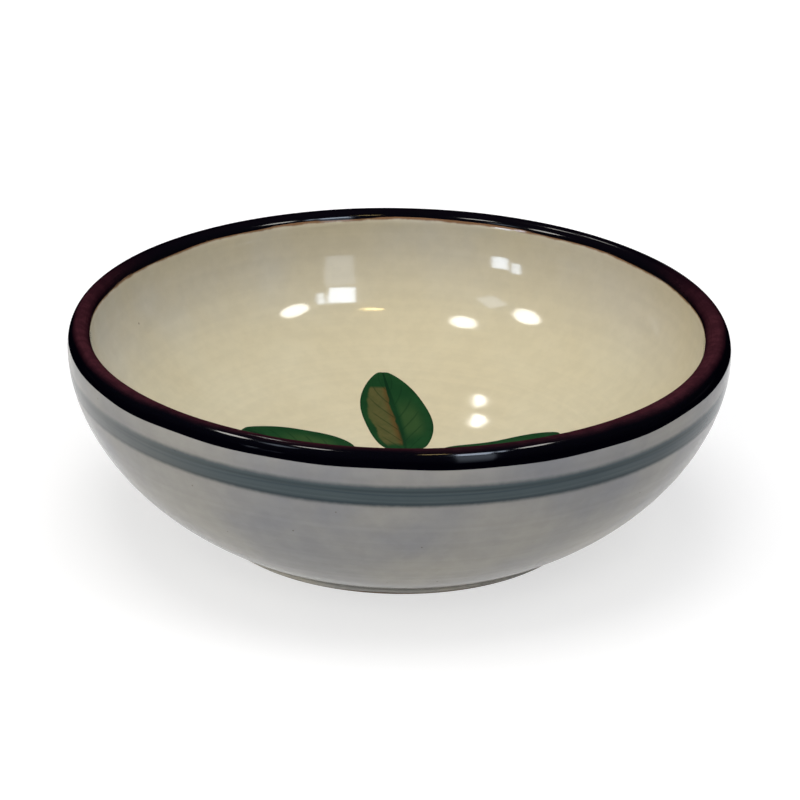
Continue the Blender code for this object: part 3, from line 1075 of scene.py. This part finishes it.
def makeLeaf(number, angle, reachShare, tilt, bend, ochreSide, form):
    # width = taper from base to tip + swell * sin(pi * t) to a power, rounded off at both ends;
    # across = width * side + swing * (tilt * (t - 1/2) + bend * sin(pi * t));
    # the top is a pillow that dips under the cream at its edge
    lengthwise = np.linspace(-form["tuck"], 1, form["rows"])
    sideways = np.linspace(-0.5, 0.5, form["columns"])
    t, side = np.meshgrid(lengthwise, sideways, indexing="ij")
    taper = form["baseWidth"] + (form["tipWidth"] - form["baseWidth"]) * t
    swell = form["width"] - (form["baseWidth"] + form["tipWidth"]) / 2
    width = taper + swell * np.sin(math.pi * t).clip(0) ** form["fullness"]
    width = width * (1 + form["wobble"] * np.sin(form["wobbleTurns"] * t + number) * np.sign(side))
    tipEnd = 1 - form["endCut"] * t.clip(0) ** form["tipRound"]
    baseEnd = 1 + form["endCut"] * (t / form["tuck"]).clip(-1, 0)
    width = width * (tipEnd * baseEnd) ** 0.5
    along = form["start"] + (form["reach"] * reachShare - form["start"]) * t
    across = width * side + form["swing"] * (tilt * (t - 0.5) + bend * np.sin(math.pi * t))
    turn = math.radians(angle)
    x = along * math.cos(turn) - across * math.sin(turn)
    y = along * math.sin(turn) + across * math.cos(turn)
    pillow = (1 - (2 * np.abs(side)) ** form["edgePower"]) * (1 - t.clip(0) ** form["tipPower"])
    lift = (form["lift"] + form["sunkEdge"]) * pillow - form["sunkEdge"]
    top = onWell(x, y, lift).reshape(-1, 3)
    under = onWell(x, y, -form["depth"]).reshape(-1, 3)
    places = np.stack([t, side * ochreSide, np.zeros_like(t)], -1).reshape(-1, 3)
    faces = patchFaces(form["rows"], form["columns"])
    addPiece(f"leaf{number}", np.concatenate([top, under]), faces, leafPaint, f"leaf_{number}",
             np.concatenate([places, places]))


for number, leaf in enumerate(leafForm["leaves"], start=1):
    makeLeaf(number, *leaf, leafForm)


# plain five-petalled rosette in the middle
rosetteForm = {
    "radius": 18.6 * mm,
    "notch": 3.0 * mm,
    "petals": 5,
    "bearing": 72.0,
    "lift": 0.11 * mm,
    "crown": 0.05 * mm,
    "sunkEdge": 0.04 * mm,
    "edgePower": 12,
    "depth": 0.2 * mm,
    "rows": 30,
    "steps": 240,
}

# its eye takes the rosette's lift, crown and depth
eyeForm = {"radius": 4.3 * mm, "gap": 0.02 * mm, "edgePower": 6, "rows": 14}


def addDisc(name, rings, poles, share, material, nodeName):
    # rings run over the top and back below; only the share from edge to edge is kept as their place
    half = np.broadcast_to(share, (len(share), rings.shape[1]))
    places = np.stack([np.zeros_like(half), np.zeros_like(half), half], -1)
    addTurned(name, rings, poles, material, nodeName, np.concatenate([places, places[::-1]]))


def makePetals(form):
    # outer radius = radius - notch * (1 - |cos(petals / 2 * bearing)|), petals crowned between their notches
    turn = bearings(form["steps"])
    lobe = np.abs(np.cos(form["petals"] / 2 * (turn - math.radians(form["bearing"]))))
    outer = form["radius"] - form["notch"] * (1 - lobe)
    share = np.linspace(0, 1, form["rows"])[:, None]
    radius = outer + (eyeForm["radius"] - outer) * share
    edge = 1 - np.abs(2 * share - 1) ** form["edgePower"]
    lift = edge * (form["lift"] + form["sunkEdge"] + form["crown"] * np.sqrt(lobe)) - form["sunkEdge"]
    x, y = radius * np.cos(turn), radius * np.sin(turn)
    rings = np.concatenate([onWell(x, y, lift), onWell(x, y, -form["depth"])[::-1]])
    addDisc("rosettePetals", rings, None, share, petalPaint, "rosette_petals")


def makeEye(form, rosette):
    # lift = rosette's lift * (1 - share to the edge's power) + its crown * (1 - share squared)
    turn = bearings(rosette["steps"])
    share = np.linspace(0, 1, form["rows"])[1:, None]
    radius = (form["radius"] - form["gap"]) * share
    lift = rosette["lift"] * (1 - share ** form["edgePower"]) + rosette["crown"] * (1 - share ** 2)
    x, y = radius * np.cos(turn), radius * np.sin(turn)
    rings = np.concatenate([onWell(x, y, -rosette["depth"]), onWell(x, y, lift)[::-1]])
    peak = rosette["lift"] + rosette["crown"]
    poles = np.array([onWell(0.0, 0.0, -rosette["depth"]), onWell(0.0, 0.0, peak)])
    addDisc("rosetteEye", rings, poles, share, eyePaint, "rosette_eye")


makePetals(rosetteForm)
makeEye(eyeForm, rosetteForm)


# pale floor that keeps a soft shadow; what the camera and reflections see is lifted to white, less near the
# bowl, which paints a shadow round it
floorLook = {
    "halfSize": 12.0,
    "drop": 0.05 * mm,
    "bounce": (0.75, 0.745, 0.735),
    "seen": (0.43, 0.43, 0.43),
    "glow": (100 * mm, 250 * mm, 0.64, 0.77),       # distances from the bowl, and the glow at each; the weaker glow near the bowl is a painted shadow
}


def makeFloor(look):
    half, low = look["halfSize"], -look["drop"]
    data = bpy.data.meshes.new("floor")
    corners = [(-half, -half, low), (half, -half, low), (half, half, low), (-half, half, low)]
    data.from_pydata(corners, [], [(0, 1, 2, 3)])
    material = bpy.data.materials.new("pale floor")
    material.use_nodes = True
    tree = material.node_tree
    tree.nodes.clear()
    path = addNode(tree, "ShaderNodeLightPath").outputs
    mirrored = calc(tree, "MAXIMUM", path["Is Camera Ray"], path["Is Glossy Ray"])
    seen = calc(tree, "MAXIMUM", mirrored, path["Is Transmission Ray"])
    plain = addNode(tree, "ShaderNodeBsdfDiffuse", {"Color": (*look["bounce"], 1)}).outputs[0]
    shadowed = addNode(tree, "ShaderNodeBsdfDiffuse", {"Color": (*look["seen"], 1)}).outputs[0]
    away = addNode(tree, "ShaderNodeVectorMath", {0: objectPlace(tree)}, operation="LENGTH").outputs["Value"]
    # painted shadow: the glow grows with the distance from the bowl
    glow = addNode(tree, "ShaderNodeEmission", {"Strength": remap(tree, away, *look["glow"])}).outputs[0]
    lifted = addNode(tree, "ShaderNodeAddShader", {0: shadowed, 1: glow}).outputs[0]
    surface = addNode(tree, "ShaderNodeMixShader", {0: seen, 1: plain, 2: lifted}).outputs[0]
    addNode(tree, "ShaderNodeOutputMaterial", {"Surface": surface})
    data.materials.append(material)
    floor = bpy.data.objects.new("floor", data)
    bpy.context.collection.objects.link(floor)


makeFloor(floorLook)


# soft lamps light the bowl and don't show in the glaze: direction seen from the bowl, size, power, colour
softWhite, softYellow = (1.0, 0.985, 0.96), (1.0, 0.94, 0.8)
softLamps = {
    "keyLight": ((-0.07, -0.03, 0.99), (0.9, 0.9), 13.5, softWhite),
    "frontLight": ((-0.03, -0.74, 0.67), (0.9, 0.7), 4.3, softWhite),
    "rightLight": ((0.6, -0.15, 0.78), (0.8, 0.8), 3.4, softWhite),
    "sideLight": ((-0.8, -0.2, 0.56), (1.1, 1.1), 4.4, softYellow),
    "lowLight": ((-0.55, -0.82, 0.17), (1.0, 0.3), 2.4, softWhite),
}

# sharp lamps show in the glaze and light nothing: direction, size, turn, glow, kind
sharpLamps = {
    "windowLow": ((0.314, -0.475, 0.822), (0.195, 0.3), -20, 17, "day"),
    "windowStrip": ((0.412, -0.395, 0.821), (0.05, 0.2), -26, 13, "day"),
    "windowTall": ((0.385, -0.771, 0.507), (0.25, 0.76), -8, 2.8, "day"),
    "windowSide": ((-0.629, -0.743, 0.229), (0.145, 0.29), 7, 15, "day"),
    "windowSideStrip": ((-0.711, -0.649, 0.273), (0.085, 0.26), 9, 13, "day"),
    "sidePane": ((-0.477, -0.376, 0.795), (0.2, 0.16), -26, 4.0, "day"),
    "lampLeft": ((0.495, -0.201, 0.845), (0.265, 0.165), 16, 18, "warm"),
    "lampTop": ((-0.28, -0.148, 0.949), (0.19, 0.145), -5, 18, "warm"),
    "lampRight": ((-0.589, -0.139, 0.796), (0.27, 0.19), -22, 18, "warm"),
    "lampBack": ((-0.178, 0.559, 0.81), (0.115, 0.038), 66, 20, "warm"),
    "lampBackLow": ((-0.146, 0.672, 0.726), (0.11, 0.034), 73, 20, "warm"),
    "thinLamp": ((0.132, -0.309, 0.942), (0.14, 0.045), -17, 30, "yellow"),
}

studio = {
    "aim": (0.0, 0.0, 30.0 * mm),
    "softFar": 1.5,
    "sharpFar": 1.3,
    "kinds": {
        "day": ("RECTANGLE", (0.73, 0.84, 1.0)),
        "warm": ("ELLIPSE", (1.0, 0.98, 0.92)),
        "yellow": ("ELLIPSE", (1.0, 0.75, 0.3)),
    },
    "horizon": (0.1, 0.105, 0.12),
    "zenith": (0.165, 0.174, 0.215),
    "skyRise": (0.1, 1.0),
    "skyReflected": 0.3,            # the glaze shows the room darker than it lights
}


def addLamp(name, toward, size, turn, far, power, shape, colour, shown):
    data = bpy.data.lights.new(name, "AREA")
    data.shape = shape
    data.size, data.size_y = size
    data.energy = power
    data.color = colour
    item = bpy.data.objects.new(name, data)
    direction = Vector(toward).normalized()
    item.location = Vector(studio["aim"]) + direction * far
    item.rotation_mode = "QUATERNION"
    item.rotation_quaternion = direction.to_track_quat("Z", "Y") @ Quaternion((0, 0, 1), math.radians(turn))
    item.visible_glossy = shown
    item.visible_diffuse = not shown
    bpy.context.collection.objects.link(item)


def addLamps(plan):
    # radiance of an even lamp = power / (pi * area), so power = glow * pi * area
    for name, (toward, size, power, colour) in softLamps.items():
        addLamp(name, toward, size, 0, plan["softFar"], power, "RECTANGLE", colour, False)
    for name, (toward, size, turn, glow, kind) in sharpLamps.items():
        shape, colour = plan["kinds"][kind]
        area = size[0] * size[1] * (math.pi / 4 if shape == "ELLIPSE" else 1.0)
        addLamp(name, toward, size, turn, plan["sharpFar"], glow * math.pi * area, shape, colour, True)


def addSky(plan):
    world = bpy.data.worlds.new("studio")
    bpy.context.scene.world = world
    world.use_nodes = True
    tree = world.node_tree
    background = tree.nodes["Background"].inputs
    up = splitPlace(tree, addNode(tree, "ShaderNodeTexCoord").outputs["Generated"])[2]
    mirrored = addNode(tree, "ShaderNodeLightPath").outputs["Is Glossy Ray"]
    sky = mixColour(tree, remap(tree, up, *plan["skyRise"]), plan["horizon"], plan["zenith"])
    tree.links.new(sky, background["Color"])
    tree.links.new(remap(tree, mirrored, 0.0, 1.0, 1.0, plan["skyReflected"]), background["Strength"])


addLamps(studio)
addSky(studio)


# camera of the photograph: looks at a point on the axis, rolled a little, the frame shifted to its centre
cameraSet = {
    "distance": 783.2 * mm,
    "elevation": 23.72,
    "lookHeight": 26.37 * mm,
    "roll": 1.0,
    "lens": 144.2,                  # lens and sensor in millimetres
    "sensor": 36.0,
    "shift": (0.0022, 0.015),
}


def addCamera(plan):
    elevation = math.radians(plan["elevation"])
    data = bpy.data.cameras.new("camera")
    data.sensor_width = plan["sensor"]
    data.lens = plan["lens"]
    data.shift_x, data.shift_y = plan["shift"]
    camera = bpy.data.objects.new("camera", data)
    away = Vector((0, -math.cos(elevation), math.sin(elevation))) * plan["distance"]
    pitch = Matrix.Rotation(math.pi / 2 - elevation, 4, "X")
    look = pitch @ Matrix.Rotation(math.radians(plan["roll"]), 4, "Z")
    camera.matrix_world = Matrix.Translation(away + Vector((0, 0, plan["lookHeight"]))) @ look
    bpy.context.collection.objects.link(camera)
    bpy.context.scene.camera = camera


addCamera(cameraSet)
bpy.context.scene.view_settings.view_transform = "Standard"
print("light and camera set")
